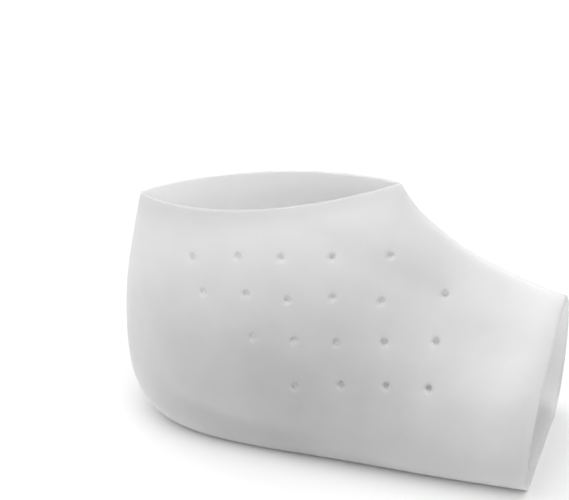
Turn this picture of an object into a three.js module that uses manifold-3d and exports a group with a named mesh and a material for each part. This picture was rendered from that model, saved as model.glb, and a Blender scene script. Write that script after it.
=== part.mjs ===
// Heel sleeve that raises the wearer: one moulded piece of soft silicone, open at the ankle and at the
// front, with a sole that is thickest under the heel and rows of vents through both side walls.
// Millimetres, +X to the toes, +Z up, the sole on z = 0 and the middle of the length on x = 0.
import * as THREE from 'three';
import { mergeVertices } from 'three/addons/utils/BufferGeometryUtils.js';
import Module from 'manifold-3d';

// Driving dimensions
const WALL = 1.4;
const RIM = 0.7;
const RIM_ROWS = 0.8;
const HALF_LENGTH = 61;
const LIFT = 18;
const SOLE_ROLL = 1.5;
const LIFT_ROLL = 3;
const VENT_DIAMETER = 2.5;
const FAR_VENTS_DROP = 4.5;

// How finely the walls are faceted: steps from the ankle rim to the front rim, and steps round a section
const STEPS_ALONG = 35;
const STEPS_AROUND = 48;
const VENT_SIDES = 12;

// A step small enough to read slopes from, in rows and in radians, how far from a section's ends its insides
// are first tried, and the halvings that find where they meet
const NUDGE = 1e-3;
const END_GAP = 1e-2;
const HALVINGS = 30;

// One row for each section, from the ankle rim round the heel to the front rim. A section runs from the
// crease along the instep to the back of the heel or to the sole. Its ends are creased where the power is
// near 1 and blunt where it is near 0.3, and bow arches its line out of straight.
const SECTIONS = [
  { name: 'ankle rim', creaseX: 15.3, creaseZ: 75.7, baseX: -56.9, baseZ: 63.4,
    halfWidth: 13, creasePower: 0.94, basePower: 0.8, bow: 0.9 },
  { name: 'upper heel', creaseX: 20, creaseZ: 69, baseX: -59.8, baseZ: 46,
    halfWidth: 18.8, creasePower: 0.9, basePower: 0.68, bow: 0 },
  { name: 'heel bulge', creaseX: 25, creaseZ: 64.7, baseX: -60.9, baseZ: 27,
    halfWidth: 21.7, creasePower: 0.87, basePower: 0.57, bow: 0 },
  { name: 'heel corner', creaseX: 31, creaseZ: 60.5, baseX: -54.5, baseZ: 4.5,
    halfWidth: 24.5, creasePower: 0.86, basePower: 0.43, bow: 0 },
  { name: 'sole back', creaseX: 38, creaseZ: 56.8, baseX: -30.5, baseZ: -3,
    halfWidth: 25.4, creasePower: 0.85, basePower: 0.34, bow: 0 },
  { name: 'mid sole', creaseX: 45.5, creaseZ: 53.7, baseX: 0.5, baseZ: -3,
    halfWidth: 26.7, creasePower: 0.85, basePower: 0.34, bow: 0 },
  { name: 'front quarter', creaseX: 53.5, creaseZ: 50.7, baseX: 29, baseZ: -3,
    halfWidth: 27.8, creasePower: 0.84, basePower: 0.34, bow: 0 },
  { name: 'front rim', creaseX: 61, creaseZ: 48.5, baseX: 57.2, baseZ: -3,
    halfWidth: 28.4, creasePower: 0.83, basePower: 0.36, bow: -0.5 },
];

// One row for each row of vents, top to bottom: where each vent goes straight through the wall on the side y < 0.
// The other side has the same vents, a little lower.
const VENT_ROWS = [
  { x: [-37, -24, -12.5, 0.5, 15], z: [54, 57, 58, 58.5, 58.5] },
  { x: [-33, -21, -10, 1.5, 14, 30], z: [46, 47.5, 47, 48, 47, 49] },
  { x: [-18.5, -7.5, 3.5, 16, 29.5], z: [36, 36, 36, 37, 38.5] },
  { x: [-6.5, 6, 18, 29.5], z: [23.5, 25.5, 27, 28] },
];

// A natural cubic spline through evenly spaced values
function naturalSpline(values) {
  const last = values.length - 1;
  const bend = values.map(() => 0);
  const carry = values.map(() => 0);
  const load = values.map(() => 0);
  for (let i = 1; i < last; i++) {
    const turn = 6 * (values[i + 1] - 2 * values[i] + values[i - 1]);
    carry[i] = 1 / (4 - carry[i - 1]);
    load[i] = (turn - load[i - 1]) * carry[i];
  }
  for (let i = last - 1; i > 0; i--) {
    bend[i] = load[i] - carry[i] * bend[i + 1];
  }
  return (u) => {
    const i = Math.max(0, Math.min(Math.floor(u), last - 1));
    const b = u - i;
    const a = 1 - b;
    return a * values[i] + b * values[i + 1] + ((a ** 3 - a) * bend[i] + (b ** 3 - b) * bend[i + 1]) / 6;
  };
}

// The section table as smooth functions of u, which counts rows
const COLUMNS = Object.keys(SECTIONS[0]).filter((key) => key !== 'name');
const SPLINES = Object.fromEntries(
  COLUMNS.map((key) => [key, naturalSpline(SECTIONS.map((row) => row[key]))]),
);

function sectionAt(u) {
  return Object.fromEntries(COLUMNS.map((key) => [key, SPLINES[key](u)]));
}

// Half-width of a section as a share of its widest, at q from 0 at the crease to 1 at the base
function share(section, q) {
  const widest = section.creasePower / (section.creasePower + section.basePower);
  const shape = (at) => at ** section.creasePower * (1 - at) ** section.basePower;
  return shape(q) / shape(widest);
}

// Raises what is below a level up to it, with a soft roll of the given reach
function restOn(level, z, roll) {
  const over = z - level;
  if (over < -roll) return level;
  if (over > roll) return z;
  return level + (over + roll) ** 2 / (4 * roll);
}

// Height of the lift at x: a plain wedge under the heel that runs out at the front rim
function liftAt(x) {
  return LIFT * (HALF_LENGTH - x) / (2 * HALF_LENGTH);
}

// Thickness of the wall at u, feathered down to both rims
function wallAt(u) {
  const fromRim = Math.min(u, SECTIONS.length - 1 - u) / RIM_ROWS;
  return RIM + (WALL - RIM) * THREE.MathUtils.smoothstep(fromRim, 0, 1);
}

// A point of the outside at u, with turn from 0 at the crease, through PI at the base, round the other side
function outsideAt(u, turn) {
  const section = sectionAt(u);
  const q = (1 - Math.cos(turn)) / 2;
  const alongX = section.baseX - section.creaseX;
  const alongZ = section.baseZ - section.creaseZ;
  const arch = section.bow * 4 * q * (1 - q) / Math.hypot(alongX, alongZ);
  const x = section.creaseX + alongX * q - alongZ * arch;
  const z = section.creaseZ + alongZ * q + alongX * arch;
  const y = Math.sign(Math.sin(turn)) * section.halfWidth * share(section, q);
  return new THREE.Vector3(x, y, restOn(0, z, SOLE_ROLL));
}

// The same point sunk into the silicone, within the section so that the rims are cut straight across, and
// as far as makes the wall's thickness square to the surface
function sunkAt(u, turn) {
  const section = sectionAt(u);
  const crease = new THREE.Vector3(section.creaseX, 0, section.creaseZ);
  const line = new THREE.Vector3(section.baseX, 0, section.baseZ).sub(crease).normalize();
  const along = outsideAt(u + NUDGE, turn).sub(outsideAt(u - NUDGE, turn));
  const around = outsideAt(u, turn + NUDGE).sub(outsideAt(u, turn - NUDGE));
  const outward = along.cross(around).normalize();
  const across = new THREE.Vector3(0, outward.y, 0).addScaledVector(line, outward.dot(line));
  return outsideAt(u, turn).addScaledVector(across, -wallAt(u) / across.lengthSq());
}

// The turn between one where the two walls' insides cross and one where they are apart, at which they meet
function meetingTurn(u, crossed, apart) {
  if (sunkAt(u, crossed).y > 0) return crossed;
  for (let i = 0; i < HALVINGS; i++) {
    const middle = (crossed + apart) / 2;
    if (sunkAt(u, middle).y > 0) apart = middle;
    else crossed = middle;
  }
  return apart;
}

// The inside at u: the sunk wall between the turns where its two halves meet, with the lift on the sole
function insideHalf(u) {
  const from = meetingTurn(u, END_GAP, Math.PI / 2);
  const to = meetingTurn(u, Math.PI - END_GAP, Math.PI / 2);
  return (turn) => {
    const point = sunkAt(u, from + (to - from) * turn / Math.PI);
    point.z = restOn(liftAt(point.x), point.z, LIFT_ROLL);
    return point;
  };
}

// One closed ring of points, from the crease down one side and up the other, mirrored about y = 0
function ringOf(pointAt) {
  const half = STEPS_AROUND / 2;
  const down = Array.from({ length: half + 1 }, (_, step) => pointAt(Math.PI * step / half));
  down[0].y = 0;
  down[half].y = 0;
  const up = down.slice(1, half).reverse().map((point) => new THREE.Vector3(point.x, -point.y, point.z));
  return [...down, ...up];
}

// The sleeve without vents: the outside from ankle to front, then the inside back again, joined at both rims
function sleeveGeometry() {
  const lastRow = SECTIONS.length - 1;
  const stations = Array.from({ length: STEPS_ALONG + 1 }, (_, i) => lastRow * i / STEPS_ALONG);
  const outside = stations.map((u) => ringOf((turn) => outsideAt(u, turn)));
  const inside = stations.map((u) => ringOf(insideHalf(u)));
  const rings = [...outside, ...inside.reverse()];
  const positions = rings.flat().flatMap((point) => point.toArray());
  const triangles = [];
  rings.forEach((_, i) => {
    const here = i * STEPS_AROUND;
    const there = (i + 1) % rings.length * STEPS_AROUND;
    for (let j = 0; j < STEPS_AROUND; j++) {
      const next = (j + 1) % STEPS_AROUND;
      triangles.push(here + j, there + j, there + next);
      triangles.push(here + j, there + next, here + next);
    }
  });
  const geometry = new THREE.BufferGeometry();
  geometry.setAttribute('position', new THREE.Float32BufferAttribute(positions, 3));
  geometry.setIndex(triangles);
  return geometry;
}

// One straight pin for each vent, from the middle of the sleeve out past one side wall
function ventGeometries() {
  const length = 1.5 * Math.max(...SECTIONS.map((row) => row.halfWidth));
  const radius = VENT_DIAMETER / 2;
  return VENT_ROWS.flatMap((row) => row.x.flatMap((x, i) => {
    const pin = new THREE.CylinderGeometry(radius, radius, length, VENT_SIDES);
    const near = pin.clone().translate(x, -length / 2, row.z[i]);
    const far = pin.clone().translate(x, length / 2, row.z[i] - FAR_VENTS_DROP);
    return [near, far];
  }));
}

const wasm = await Module();
wasm.setup();

function solidOf(geometry) {
  const bare = geometry.clone();
  bare.deleteAttribute('normal');
  bare.deleteAttribute('uv');
  const merged = mergeVertices(bare);
  return new wasm.Manifold(new wasm.Mesh({
    numProp: 3,
    vertProperties: new Float32Array(merged.attributes.position.array),
    triVerts: new Uint32Array(merged.index.array),
  }));
}

function geometryOf(solid) {
  const mesh = solid.getMesh();
  const geometry = new THREE.BufferGeometry();
  geometry.setAttribute('position', new THREE.BufferAttribute(new Float32Array(mesh.vertProperties), 3));
  geometry.setIndex(new THREE.BufferAttribute(new Uint32Array(mesh.triVerts), 1));
  geometry.computeVertexNormals();
  return geometry;
}

const ventedSleeve = ventGeometries().reduce(
  (sleeve, pin) => sleeve.subtract(solidOf(pin)),
  solidOf(sleeveGeometry()),
);

const milkySilicone = new THREE.MeshStandardMaterial({ color: 0xe4e4e2, roughness: 0.5, metalness: 0 });

const sleeve = new THREE.Mesh(geometryOf(ventedSleeve), milkySilicone);
sleeve.name = 'heel_sleeve';

const part = new THREE.Group();
part.add(sleeve);

export default part;
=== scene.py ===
"""A heel sleeve of milky silicone on a pale studio floor."""
import math
from collections import namedtuple

import bpy
import numpy as np
from mathutils import Matrix, Vector


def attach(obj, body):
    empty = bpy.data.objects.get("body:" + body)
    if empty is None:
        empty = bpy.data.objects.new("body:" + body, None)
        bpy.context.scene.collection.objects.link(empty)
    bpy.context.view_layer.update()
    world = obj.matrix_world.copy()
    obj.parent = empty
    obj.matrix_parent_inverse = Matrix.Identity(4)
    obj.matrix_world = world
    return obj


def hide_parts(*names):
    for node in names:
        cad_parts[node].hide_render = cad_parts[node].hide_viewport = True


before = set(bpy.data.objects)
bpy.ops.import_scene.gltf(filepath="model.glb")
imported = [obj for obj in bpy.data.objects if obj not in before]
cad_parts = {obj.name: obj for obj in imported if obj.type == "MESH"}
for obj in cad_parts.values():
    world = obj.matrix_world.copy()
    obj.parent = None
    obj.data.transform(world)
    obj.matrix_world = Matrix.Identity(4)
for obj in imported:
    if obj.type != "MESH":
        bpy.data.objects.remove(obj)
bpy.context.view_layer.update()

# Metres in a millimetre: the sleeve's shape is worked out in millimetres
MM = 0.001

# Driving dimensions of the sleeve, as in the solid that it stands for. The wall thins to the rims over a
# share of a row of the sections' table.
WALL = 1.4
RIM = 0.7
RIM_ROWS = 0.8
HALF_LENGTH = 61.0
LIFT = 18.0
SOLE_ROLL = 1.5
LIFT_ROLL = 3.0
FAR_VENTS_DROP = 4.5

# What the finished surface adds: rounded lips, a softer crease, and vents that are narrower in the bore,
# flared on the outside and rounded on the inside
LIP_ROUND = 0.3
CREASE_ROUND = 0.5
VENT_RADIUS = 0.7
VENT_FLARE = 1.0
VENT_ROUND = 0.3

# How finely the surface is meshed: steps from rim to rim, down one half and round an edge, steps at which the
# inside's ends are worked out, and the reach and the rings of the patch round each vent
STEPS_ALONG = 168
STEPS_DOWN = 100
STEPS_ROUND = 4
STEPS_TRIM = 4 * STEPS_ALONG
VENT_PATCH = 2.7
PATCH_RINGS = 4

# Where the rings of the outside and of the inside lie among all of a half's rings, with a lip between them
LIP_RINGS = 2 * (STEPS_ROUND + 1)
OUTSIDE_RINGS = slice(0, STEPS_ALONG - 1)
INSIDE_RINGS = slice(OUTSIDE_RINGS.stop + LIP_RINGS, 2 * OUTSIDE_RINGS.stop + LIP_RINGS)

# A step to read slopes from, how far from a section's ends its insides are tried, and rounds of search
NUDGE = 1e-3
END_GAP = 1e-2
HALVINGS = 30
SOLVES = 8

# One row for each section, from the ankle rim round the heel to the front rim
CREASE_X, CREASE_Z, BASE_X, BASE_Z, HALF_WIDTH, CREASE_POWER, BASE_POWER, BOW = range(8)
SECTIONS = np.array([
    # crease x, z   base x, z    half width, crease power, base power, bow
    [15.3, 75.7, -56.9, 63.4, 13.0, 0.94, 0.80, 0.9],
    [20.0, 69.0, -59.8, 46.0, 18.8, 0.90, 0.68, 0.0],
    [25.0, 64.7, -60.9, 27.0, 21.7, 0.87, 0.57, 0.0],
    [31.0, 60.5, -54.5, 4.5, 24.5, 0.86, 0.43, 0.0],
    [38.0, 56.8, -30.5, -3.0, 25.4, 0.85, 0.34, 0.0],
    [45.5, 53.7, 0.5, -3.0, 26.7, 0.85, 0.34, 0.0],
    [53.5, 50.7, 29.0, -3.0, 27.8, 0.84, 0.34, 0.0],
    [61.0, 48.5, 57.2, -3.0, 28.4, 0.83, 0.36, -0.5],
])
LAST_ROW = len(SECTIONS) - 1

# One row for each row of vents, top to bottom: x and z of each vent on the side y < 0
VENT_ROWS = [
    {"x": [-37, -24, -12.5, 0.5, 15], "z": [54, 57, 58, 58.5, 58.5]},
    {"x": [-33, -21, -10, 1.5, 14, 30], "z": [46, 47.5, 47, 48, 47, 49]},
    {"x": [-18.5, -7.5, 3.5, 16, 29.5], "z": [36, 36, 36, 37, 38.5]},
    {"x": [-6.5, 6, 18, 29.5], "z": [23.5, 25.5, 27, 28]},
]

# Soft ridges and hollows where the wall on the side y < 0 has relaxed, and how close to the middle plane
# and to the rims they fade
FOLDS = [
    # from x, z    to x, z    height, spread
    ((2.0, 71.0), (36.0, 53.0), 1.0, 5.0),
    ((-7.0, 67.5), (28.0, 49.0), -0.9, 2.6),
    ((42.0, 28.5), (62.0, 31.5), 1.1, 4.5),
    ((34.0, 41.0), (62.0, 41.0), -0.7, 3.0),
]
FOLD_MIDDLE_FADE = 3.0
FOLD_RIM_FADE = 9.0

# The silicone: how far light wanders in it, in metres, its shine and roughness, its tones at the edges and in
# the middle of each side, where painted shade greys it, inside, for each millimetre of a fold as painted
# light and shade, and at the lightest
LIGHT_REACH = 0.008
SILICONE_SHINE = 0.35
SILICONE_ROUGHNESS = (0.45, 0.6)
EDGE_TONE = 0.97
SHADED_MIDDLE_TONE = 0.485
INSIDE_TONE = 0.955
PAINTED_FOLD_SHADING = 0.04
LIGHTEST_TONE = 0.985

# Painted shade that greys the lower middle of each side: the mapping, from metres, that carries it on to a
# ball of radius 1
PAINTED_SHADE_PLACE = (0.07, 0.0, -0.42)
PAINTED_SHADE_SCALE = (10.0, 0.0, 19.0)

# The silicone's faint clouds: how small and how broken they are, the stretch of the noise that is used, and
# the tones that it adds
CLOUD_SCALE = 60.0
CLOUD_DETAIL = 4.0
CLOUD_SPAN = (0.3, 0.7)
CLOUD_TONE = (-0.045, 0.02)

# Names of the mesh's marks for the outside skin and for the height of the folds
SKIN_MARK = "outside_skin"
RELIEF_MARK = "fold_height"

# The floor: half sizes of all of it and of the sheet under the sleeve, in metres, the signs of a sheet's
# corners, and its finish
FLOOR_WIDE = (3.0, 3.0)
FLOOR_UNDER = (0.062, 0.026)
CORNERS = ((-1, -1), (1, -1), (1, 1), (-1, 1))
FLOOR_TONE = 0.86
FLOOR_ROUGHNESS = 0.9
FLOOR_SHINE = 0.1

# The studio's light: direction that it comes from, how tight the lobe is, and its strength
LIGHT_LOBES = [
    ((0.1, 0.0, 0.99), 6.0, 1.4),
    ((0.6, -0.3, 0.74), 6.0, 0.95),
    ((0.1, -0.7, 0.70), 6.0, 1.76),
    ((-0.1, 0.6, 0.79), 6.0, 1.4),
    ((-1.0, 0.0, 0.25), 3.0, 1.2),
    ((-0.85, 0.5, 0.25), 3.0, 0.35),
    ((0.0, 0.0, -1.0), 1.0, 1.2),
]

# The photograph's view: degrees, then metres, then the lens and its sensor in millimetres
VIEW_AZIMUTH = 14.76
VIEW_ELEVATION = 26.85
VIEW_ROLL = 0.9
VIEW_DISTANCE = 0.7222
VIEW_OFFSET = (0.01487, -0.04785)
VIEW_CLIP = (0.01, 20.0)
VIEW_LENS = 164.5
VIEW_SENSOR = 36.0


# The wall's shape

def natural_bends(values):
    """Second slopes of the natural cubic splines through evenly spaced rows."""
    n = len(values)
    matrix = np.eye(n)
    turns = np.zeros_like(values)
    for i in range(1, n - 1):
        matrix[i, i - 1:i + 2] = 1.0, 4.0, 1.0
        turns[i] = 6.0 * (values[i + 1] - 2.0 * values[i] + values[i - 1])
    return np.linalg.solve(matrix, turns)


BENDS = natural_bends(SECTIONS)


def section(u):
    """The table's columns at u, which counts rows."""
    i = np.clip(np.floor(u).astype(int), 0, LAST_ROW - 1)
    b = (u - i)[..., None]
    a = 1.0 - b
    value = a * SECTIONS[i] + b * SECTIONS[i + 1]
    value = value + ((a ** 3 - a) * BENDS[i] + (b ** 3 - b) * BENDS[i + 1]) / 6.0
    return np.moveaxis(value, -1, 0)


def rest_on(level, z, roll):
    """Raises what is below a level up to it, with a soft roll."""
    over = z - level
    rolled = level + (over + roll) ** 2 / (4.0 * roll)
    return np.where(over < -roll, level, np.where(over > roll, z, rolled))


def lift_at(x):
    """Height of the lift at x: a wedge that runs out at the front rim."""
    return LIFT * (HALF_LENGTH - x) / (2.0 * HALF_LENGTH)


def smooth_step(share):
    share = np.clip(share, 0.0, 1.0)
    return share ** 2 * (3.0 - 2.0 * share)


def wall_at(u):
    """Thickness of the wall at u, feathered down to both rims."""
    return RIM + (WALL - RIM) * smooth_step(np.minimum(u, LAST_ROW - u) / RIM_ROWS)


def outside(u, turn, crease=CREASE_ROUND):
    """The outer surface at u, with turn from 0 at the crease to pi at the base, on the side y > 0."""
    s = section(u)
    q = (1.0 - np.cos(turn)) / 2.0
    along_x = s[BASE_X] - s[CREASE_X]
    along_z = s[BASE_Z] - s[CREASE_Z]
    length = np.hypot(along_x, along_z)
    soft_q = (np.sqrt((q * length) ** 2 + crease ** 2) - crease * (1.0 - q)) / length
    arch = s[BOW] * 4.0 * soft_q * (1.0 - soft_q) / length
    x = s[CREASE_X] + along_x * soft_q - along_z * arch
    z = s[CREASE_Z] + along_z * soft_q + along_x * arch
    widest = s[CREASE_POWER] / (s[CREASE_POWER] + s[BASE_POWER])
    peak = widest ** s[CREASE_POWER] * (1.0 - widest) ** s[BASE_POWER]
    share = q ** s[CREASE_POWER] * (1.0 - q) ** s[BASE_POWER] / peak
    y = np.sign(np.sin(turn)) * s[HALF_WIDTH] * share
    return np.stack([x, y, rest_on(0.0, z, SOLE_ROLL)], -1)


def sunk(u, turn, crease=CREASE_ROUND):
    """The outer surface sunk by the wall, within its section."""
    s = section(u)
    line = np.stack([s[BASE_X] - s[CREASE_X], np.zeros_like(u), s[BASE_Z] - s[CREASE_Z]], -1)
    line = line / np.linalg.norm(line, axis=-1, keepdims=True)
    along = outside(u + NUDGE, turn, crease) - outside(u - NUDGE, turn, crease)
    around = outside(u, turn + NUDGE, crease) - outside(u, turn - NUDGE, crease)
    outward = np.cross(along, around)
    outward = outward / np.linalg.norm(outward, axis=-1, keepdims=True)
    across = line * (outward * line).sum(-1, keepdims=True)
    across[..., 1] = outward[..., 1]
    reach = wall_at(u)[..., None] / (across ** 2).sum(-1, keepdims=True)
    return outside(u, turn, crease) - across * reach


def meeting_turns(u, end):
    """Turns near one end of the sections at u where the two walls' insides would meet at a sharp crease."""
    crossed = np.full_like(u, end)
    apart = np.full_like(u, math.pi / 2)
    free = sunk(u, crossed, 0.0)[..., 1] > 0
    for _ in range(HALVINGS):
        middle = (crossed + apart) / 2
        clear = sunk(u, middle, 0.0)[..., 1] > 0
        apart = np.where(clear, middle, apart)
        crossed = np.where(clear, crossed, middle)
    return np.where(free, end, apart)


TRIM_U = np.linspace(0.0, LAST_ROW, STEPS_TRIM + 1)
TRIM_FROM = meeting_turns(TRIM_U, END_GAP)
TRIM_TO = meeting_turns(TRIM_U, math.pi - END_GAP)


def inside(u, turn):
    """The inner surface at u, with the lift on the sole."""
    first = np.interp(u, TRIM_U, TRIM_FROM)
    last = np.interp(u, TRIM_U, TRIM_TO)
    point = sunk(u, first + (last - first) * turn / math.pi)
    point[..., 2] = rest_on(lift_at(point[..., 0]), point[..., 2], LIFT_ROLL)
    return point


# The folds

def fold_heights(points):
    """How far the soft ridges stand out at points of a half, shown with y > 0."""
    x, y, z = points.T
    rise = np.zeros_like(x)
    for (x0, z0), (x1, z1), height, spread in FOLDS:
        along = ((x - x0) * (x1 - x0) + (z - z0) * (z1 - z0)) / ((x1 - x0) ** 2 + (z1 - z0) ** 2)
        along = np.clip(along, 0.0, 1.0)
        gap = (x - x0 - along * (x1 - x0)) ** 2 + (z - z0 - along * (z1 - z0)) ** 2
        rise = rise + height * np.exp(-gap / (2.0 * spread ** 2))
    return rise * y / (y + FOLD_MIDDLE_FADE)


def from_rims(points):
    """Rises smoothly from 0 at the rims' lines in side view to 1 away from them."""
    gaps = []
    for rim, way in ((SECTIONS[0], -1.0), (SECTIONS[-1], 1.0)):
        along_x = rim[BASE_X] - rim[CREASE_X]
        along_z = rim[BASE_Z] - rim[CREASE_Z]
        over = (points[:, 0] - rim[CREASE_X]) * along_z - (points[:, 2] - rim[CREASE_Z]) * along_x
        gaps.append(way * over / math.hypot(along_x, along_z))
    return smooth_step(np.minimum(*gaps) / FOLD_RIM_FADE)


# The rings of one half

def rounded_lip(outer, inner, outer_next, inner_next):
    """Rings that carry a wall round its rim, from the outside to the inside."""
    across = inner - outer
    across = across / np.linalg.norm(across, axis=1, keepdims=True)
    rings = []
    for edge, deeper, way in ((outer, outer_next, across), (inner, inner_next, -across)):
        down = deeper - edge
        down = down / np.linalg.norm(down, axis=1, keepdims=True)
        arc = []
        for k in range(STEPS_ROUND + 1):
            a = math.pi / 2 * k / STEPS_ROUND
            arc.append(edge + LIP_ROUND * ((1 - math.sin(a)) * down + (1 - math.cos(a)) * way))
        rings.append(arc)
    return rings[0] + rings[1][::-1]


def half_rings():
    """All rings of one half, in a closed sequence: outside, front lip, inside, ankle lip.

    With them come u and turn of the outside's rings, which are also the inside's, from ankle to front.
    """
    stations = np.linspace(0.0, LAST_ROW, STEPS_ALONG + 1)
    turns = np.linspace(0.0, math.pi, STEPS_DOWN + 1)
    u, turn = np.meshgrid(stations, turns, indexing="ij")
    outer = outside(u, turn)
    inner = inside(u, turn)
    front = rounded_lip(outer[-1], inner[-1], outer[-2], inner[-2])
    ankle = rounded_lip(outer[0], inner[0], outer[1], inner[1])
    rings = np.array([*outer[1:-1], *front, *inner[-2:0:-1], *ankle[::-1]])
    rings[:, 0, 1] = 0.0
    rings[:, -1, 1] = 0.0
    return rings, u[1:-1], turn[1:-1]


# The vents

# One face of a half's wall: its surface, its grid of points from ankle to front, their numbers, which squares
# of the grid stay, which way along y its vents go in, and how much their edges are rounded
Side = namedtuple("Side", "surface points numbers keep bore_way edge_round")


def vent_places(drop):
    """Where vents go through a half, lower by a drop."""
    return [(x, z - drop) for row in VENT_ROWS for x, z in zip(row["x"], row["z"])]


def place_on(surface, x, z, guess):
    """The (u, turn) at which a surface passes x and z in side view."""
    u = np.full_like(x, guess[0])
    turn = np.full_like(x, guess[1])
    for _ in range(SOLVES):
        here = surface(u, turn)
        du = (surface(u + NUDGE, turn) - here) / NUDGE
        dt = (surface(u, turn + NUDGE) - here) / NUDGE
        gap_x = x - here[:, 0]
        gap_z = z - here[:, 2]
        det = du[:, 0] * dt[:, 2] - dt[:, 0] * du[:, 2]
        u = u + (gap_x * dt[:, 2] - gap_z * dt[:, 0]) / det
        turn = turn + (gap_z * du[:, 0] - gap_x * du[:, 2]) / det
    return u, turn


def nearest_node(points, x, z):
    gap = (points[..., 0] - x) ** 2 + (points[..., 2] - z) ** 2
    return np.unravel_index(gap.argmin(), gap.shape)


def block_size(sides, x, z):
    """Rows and columns that a block needs each way to clear a vent, on grids that may be skewed."""
    needs = []
    for side in sides:
        row, column = nearest_node(side.points, x, z)
        corner = side.points[row, column]
        down = (side.points[row + 1, column] - corner)[[0, 2]]
        over = (side.points[row, column + 1] - corner)[[0, 2]]
        area = abs(down[0] * over[1] - down[1] * over[0])
        needs.append((VENT_PATCH * np.hypot(*over) / area, VENT_PATCH * np.hypot(*down) / area))
    return np.ceil(np.max(needs, axis=0)).astype(int)


def block_loop(row, column, rows, columns):
    """Rows and columns of the grid's nodes round a block, in order."""
    r0, r1, c0, c1 = row - rows, row + rows, column - columns, column + columns
    loop = [(r, c0) for r in range(r0, r1)]
    loop += [(r1, c) for c in range(c0, c1)]
    loop += [(r, c1) for r in range(r1, r0, -1)]
    loop += [(r0, c) for c in range(c1, c0, -1)]
    return tuple(np.array(loop).T)


def rings_into_vent(side, loop_u, loop_turn, angles, x, z):
    """Rings from a block's edge over a side to a vent's rounded edge and into its bore."""
    guess = (loop_u.mean(), loop_turn.mean())

    def circle(radius):
        return place_on(side.surface, x + radius * np.cos(angles), z + radius * np.sin(angles), guess)

    edge_u, edge_turn = circle(VENT_RADIUS + side.edge_round)
    rings = []
    for k in range(1, PATCH_RINGS + 1):
        t = k / PATCH_RINGS
        rings.append(side.surface(loop_u + (edge_u - loop_u) * t, loop_turn + (edge_turn - loop_turn) * t))
    for k in range(1, STEPS_ROUND + 1):
        a = math.pi / 2 * k / STEPS_ROUND
        ring = side.surface(*circle(VENT_RADIUS + side.edge_round * (1 - math.sin(a))))
        ring[:, 1] += side.bore_way * side.edge_round * (1 - math.cos(a))
        rings.append(ring)
    return rings


def open_vent(side, u, turn, x, z, size):
    """Takes a block out of a side: numbers of the points round it, and rings from there into the bore."""
    rows, columns = size
    row, column = nearest_node(side.points, x, z)
    side.keep[row - rows:row + rows, column - columns:column + columns] = False
    loop = block_loop(row, column, rows, columns)
    edge = side.points[loop]
    angles = np.unwrap(np.arctan2(edge[:, 2] - z, edge[:, 0] - x))
    return side.numbers[loop], rings_into_vent(side, u[loop], turn[loop], angles, x, z)


# The mesh

def half_mesh(drop):
    """Points, quads and outside marks of one half, shown with y > 0, its vents lower by a drop.

    The last of what it gives is the numbers of the points in its rings.
    """
    rings, u, turn = half_rings()
    numbers = np.arange(rings[..., 0].size).reshape(rings.shape[:2])
    keep = np.ones_like(numbers[:, 1:], bool)
    skin = np.ones(numbers.shape)
    skin[INSIDE_RINGS] = 0.0
    outer = Side(
        outside, rings[OUTSIDE_RINGS], numbers[OUTSIDE_RINGS], keep[OUTSIDE_RINGS], -1.0, VENT_FLARE)
    keep_inside = keep[INSIDE_RINGS.start:INSIDE_RINGS.stop - 1]
    inner = Side(
        inside, rings[INSIDE_RINGS][::-1], numbers[INSIDE_RINGS][::-1], keep_inside[::-1], 1.0, VENT_ROUND)
    points = [rings.reshape(-1, 3)]
    marks = [skin.ravel()]
    quads = []
    total = numbers.size
    for x, z in vent_places(drop):
        size = block_size((outer, inner), x, z)
        outer_loop, outer_rings = open_vent(outer, u, turn, x, z, size)
        inner_loop, inner_rings = open_vent(inner, u, turn, x, z, size)
        made = np.array(outer_rings + inner_rings[::-1])
        made_numbers = total + np.arange(made[..., 0].size).reshape(made.shape[:2])
        total += made_numbers.size
        points.append(made.reshape(-1, 3))
        marks.append(np.repeat((1.0, 0.0), made_numbers.size // 2))
        loops = [outer_loop, *made_numbers, inner_loop]
        for here, there in zip(loops, loops[1:]):
            quads.append(np.stack([here, np.roll(here, -1), np.roll(there, -1), there], 1))
    after = np.roll(numbers, -1, axis=0)
    grid_quads = np.stack([numbers[:, :-1], after[:, :-1], after[:, 1:], numbers[:, 1:]], -1)
    quads.append(grid_quads[keep])
    return np.concatenate(points), np.concatenate(quads), np.concatenate(marks), numbers


def whole_mesh():
    """Points, quads, outside marks and fold heights of both halves, joined along the middle plane."""
    far_points, far_quads, far_marks, numbers = half_mesh(FAR_VENTS_DROP)
    near_points, near_quads, near_marks, _ = half_mesh(0.0)
    heights = fold_heights(near_points)
    near_points[:, 1] += heights * from_rims(near_points)
    seam = np.concatenate([numbers[:, 0], numbers[:, -1]])
    joined = np.arange(len(near_points)) + len(far_points)
    joined[seam] = seam
    points = np.concatenate([far_points, near_points * (1.0, -1.0, 1.0)])
    marks = np.concatenate([far_marks, near_marks])
    relief = np.concatenate([np.zeros(len(far_points)), heights])
    quads = np.concatenate([far_quads, joined[near_quads][:, ::-1]])
    used = np.unique(quads)
    renumber = np.zeros(len(points), int)
    renumber[used] = np.arange(len(used))
    return points[used], renumber[quads], marks[used], relief[used]


def sleeve_object(material):
    points, quads, marks, relief = whole_mesh()
    mesh = bpy.data.meshes.new("sleeve_skin")
    mesh.from_pydata((points * MM).tolist(), [], quads.tolist())
    mesh.validate()
    mesh.shade_smooth()
    mesh.attributes.new(SKIN_MARK, "FLOAT", "POINT").data.foreach_set("value", marks)
    mesh.attributes.new(RELIEF_MARK, "FLOAT", "POINT").data.foreach_set("value", relief)
    mesh.materials.append(material)
    piece = bpy.data.objects.new("sleeve_skin", mesh)
    bpy.context.scene.collection.objects.link(piece)
    return piece


# Nodes

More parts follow.
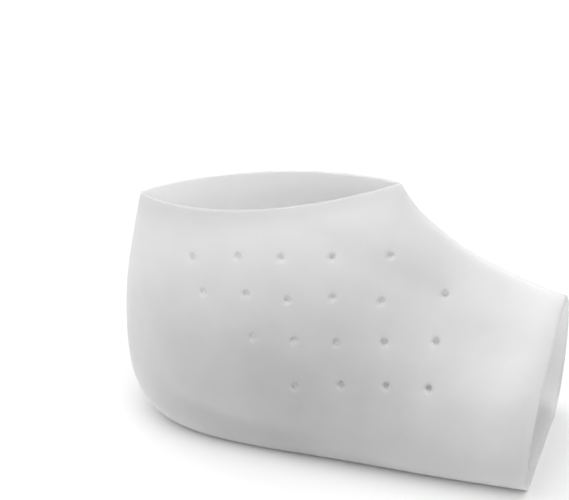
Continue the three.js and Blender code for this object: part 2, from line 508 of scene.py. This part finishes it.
def linked(tree, kind, inputs, **settings):
    """A new node with its inputs linked from sockets, or set to values, and its settings made."""
    node = tree.nodes.new(kind)
    for name, value in settings.items():
        setattr(node, name, value)
    for name, value in inputs.items():
        if isinstance(value, bpy.types.NodeSocket):
            tree.links.new(value, node.inputs[name])
        else:
            node.inputs[name].default_value = value
    return node


def reckoned(tree, operation, *values):
    """What a Math node makes of its values."""
    return linked(tree, "ShaderNodeMath", dict(enumerate(values)), operation=operation).outputs[0]


def ranged(tree, value, to_range, from_range=(0.0, 1.0), **settings):
    """A value carried from one range to another."""
    inputs = {
        "Value": value,
        "From Min": from_range[0],
        "From Max": from_range[1],
        "To Min": to_range[0],
        "To Max": to_range[1],
    }
    return linked(tree, "ShaderNodeMapRange", inputs, **settings).outputs["Result"]


def marked(tree, name):
    """What a mark on the mesh says."""
    return linked(tree, "ShaderNodeAttribute", {}, attribute_name=name).outputs["Fac"]


# Materials

def grey(value):
    return (value, value, value, 1.0)


def new_material(name, values):
    """A material and its shader, with values set on the shader's own sockets."""
    material = bpy.data.materials.new(name)
    material.use_nodes = True
    shader = material.node_tree.nodes["Principled BSDF"]
    for socket, value in values.items():
        shader.inputs[socket].default_value = value
    return material, shader


def skin_tone_with_painted_shade(tree, place):
    """Tone of the outside, with painted shade that greys it towards the middle of each side."""
    mapping = {"Vector": place, "Location": PAINTED_SHADE_PLACE, "Scale": PAINTED_SHADE_SCALE}
    shade_spot = linked(tree, "ShaderNodeMapping", mapping, vector_type="POINT").outputs["Vector"]
    middle = linked(tree, "ShaderNodeTexGradient", {"Vector": shade_spot}, gradient_type="SPHERICAL").outputs["Fac"]
    return ranged(tree, middle, (EDGE_TONE, SHADED_MIDDLE_TONE), interpolation_type="SMOOTHSTEP")


def silicone():
    """Milky silicone: light passes the thin wall, faint clouds vary its tone, and painted shade greys the
    middle of each side and the hollows of the folds, with painted light on their ridges.
    """
    material, shader = new_material("milky_silicone", {
        "Subsurface Weight": 1.0,
        "Subsurface Radius": (1.0, 1.0, 1.0),
        "Subsurface Scale": LIGHT_REACH,
        "Specular IOR Level": SILICONE_SHINE,
    })
    tree = material.node_tree
    place = tree.nodes.new("ShaderNodeTexCoord").outputs["Object"]
    noise = {"Vector": place, "Scale": CLOUD_SCALE, "Detail": CLOUD_DETAIL}
    cloud = linked(tree, "ShaderNodeTexNoise", noise).outputs["Fac"]
    # The outside's tone carries the painted shade in the middle of each side; the inside gets one plain tone.
    tone = ranged(tree, marked(tree, SKIN_MARK), (INSIDE_TONE, skin_tone_with_painted_shade(tree, place)))
    clouded = reckoned(tree, "ADD", tone, ranged(tree, cloud, CLOUD_TONE, CLOUD_SPAN))
    # Painted light and shade along the folds: lighter on the ridges, darker in the hollows, by each
    # millimetre of fold height.
    fold_shaded = reckoned(tree, "MULTIPLY_ADD", marked(tree, RELIEF_MARK), PAINTED_FOLD_SHADING, clouded)
    shade = reckoned(tree, "MINIMUM", fold_shaded, LIGHTEST_TONE)
    colour = linked(tree, "ShaderNodeCombineColor", {"Red": shade, "Green": shade, "Blue": shade})
    tree.links.new(colour.outputs["Color"], shader.inputs["Base Color"])
    tree.links.new(ranged(tree, cloud, SILICONE_ROUGHNESS), shader.inputs["Roughness"])
    return material


# The studio

def floor_sheet(name, corners, faces, material):
    mesh = bpy.data.meshes.new(name)
    mesh.from_pydata([(x, y, 0.0) for x, y in corners], [], faces)
    mesh.materials.append(material)
    sheet = bpy.data.objects.new(name, mesh)
    bpy.context.scene.collection.objects.link(sheet)
    return sheet


def floor():
    """A sheet under the sleeve, and a wide one round it that throws no light back on the sleeve."""
    material, _ = new_material("pale_floor", {
        "Base Color": grey(FLOOR_TONE),
        "Roughness": FLOOR_ROUGHNESS,
        "Specular IOR Level": FLOOR_SHINE,
    })
    under, wide = ([(sx * x, sy * y) for sx, sy in CORNERS] for x, y in (FLOOR_UNDER, FLOOR_WIDE))
    count = len(CORNERS)
    floor_sheet("floor_under", under, [tuple(range(count))], material)
    edges = [(i, (i + 1) % count) for i in range(count)]
    around = [(after, count + after, count + here, here) for here, after in edges]
    floor_sheet("floor", under + wide, around, material).visible_diffuse = False


def studio():
    """Soft light from all round: a sum of broad lobes."""
    scene = bpy.context.scene
    scene.view_settings.view_transform = "Standard"
    world = bpy.data.worlds.new("studio")
    world.use_nodes = True
    tree = world.node_tree
    way = tree.nodes.new("ShaderNodeTexCoord").outputs["Generated"]
    total = 0.0
    for direction, tightness, strength in LIGHT_LOBES:
        vectors = {0: way, 1: Vector(direction).normalized()}
        toward = linked(tree, "ShaderNodeVectorMath", vectors, operation="DOT_PRODUCT").outputs["Value"]
        lobe = reckoned(tree, "POWER", reckoned(tree, "MAXIMUM", toward, 0.0), tightness)
        total = reckoned(tree, "MULTIPLY_ADD", lobe, strength, total)
    sky = tree.nodes["Background"]
    sky.inputs["Color"].default_value = grey(1.0)
    tree.links.new(total, sky.inputs["Strength"])
    scene.world = world


def camera():
    """The photograph's camera: looks past the origin by the view's offset, rolled a little."""
    azimuth, elevation, roll = (math.radians(v) for v in (VIEW_AZIMUTH, VIEW_ELEVATION, VIEW_ROLL))
    level = Vector((math.cos(azimuth), math.sin(azimuth), 0.0))
    back = Vector((
        math.sin(azimuth) * math.cos(elevation),
        -math.cos(azimuth) * math.cos(elevation),
        math.sin(elevation),
    ))
    upright = back.cross(level)
    right = math.cos(roll) * level + math.sin(roll) * upright
    up = -math.sin(roll) * level + math.cos(roll) * upright
    data = bpy.data.cameras.new("camera")
    data.sensor_width = VIEW_SENSOR
    data.lens = VIEW_LENS
    data.clip_start, data.clip_end = VIEW_CLIP
    eye = bpy.data.objects.new("camera", data)
    place = VIEW_DISTANCE * back - VIEW_OFFSET[0] * right - VIEW_OFFSET[1] * up
    eye.matrix_world = Matrix.Translation(place) @ Matrix((right, up, back)).transposed().to_4x4()
    bpy.context.scene.collection.objects.link(eye)
    bpy.context.scene.camera = eye


camera()
studio()
floor()
sleeve = sleeve_object(silicone())
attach(sleeve, "root")
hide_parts("heel_sleeve")
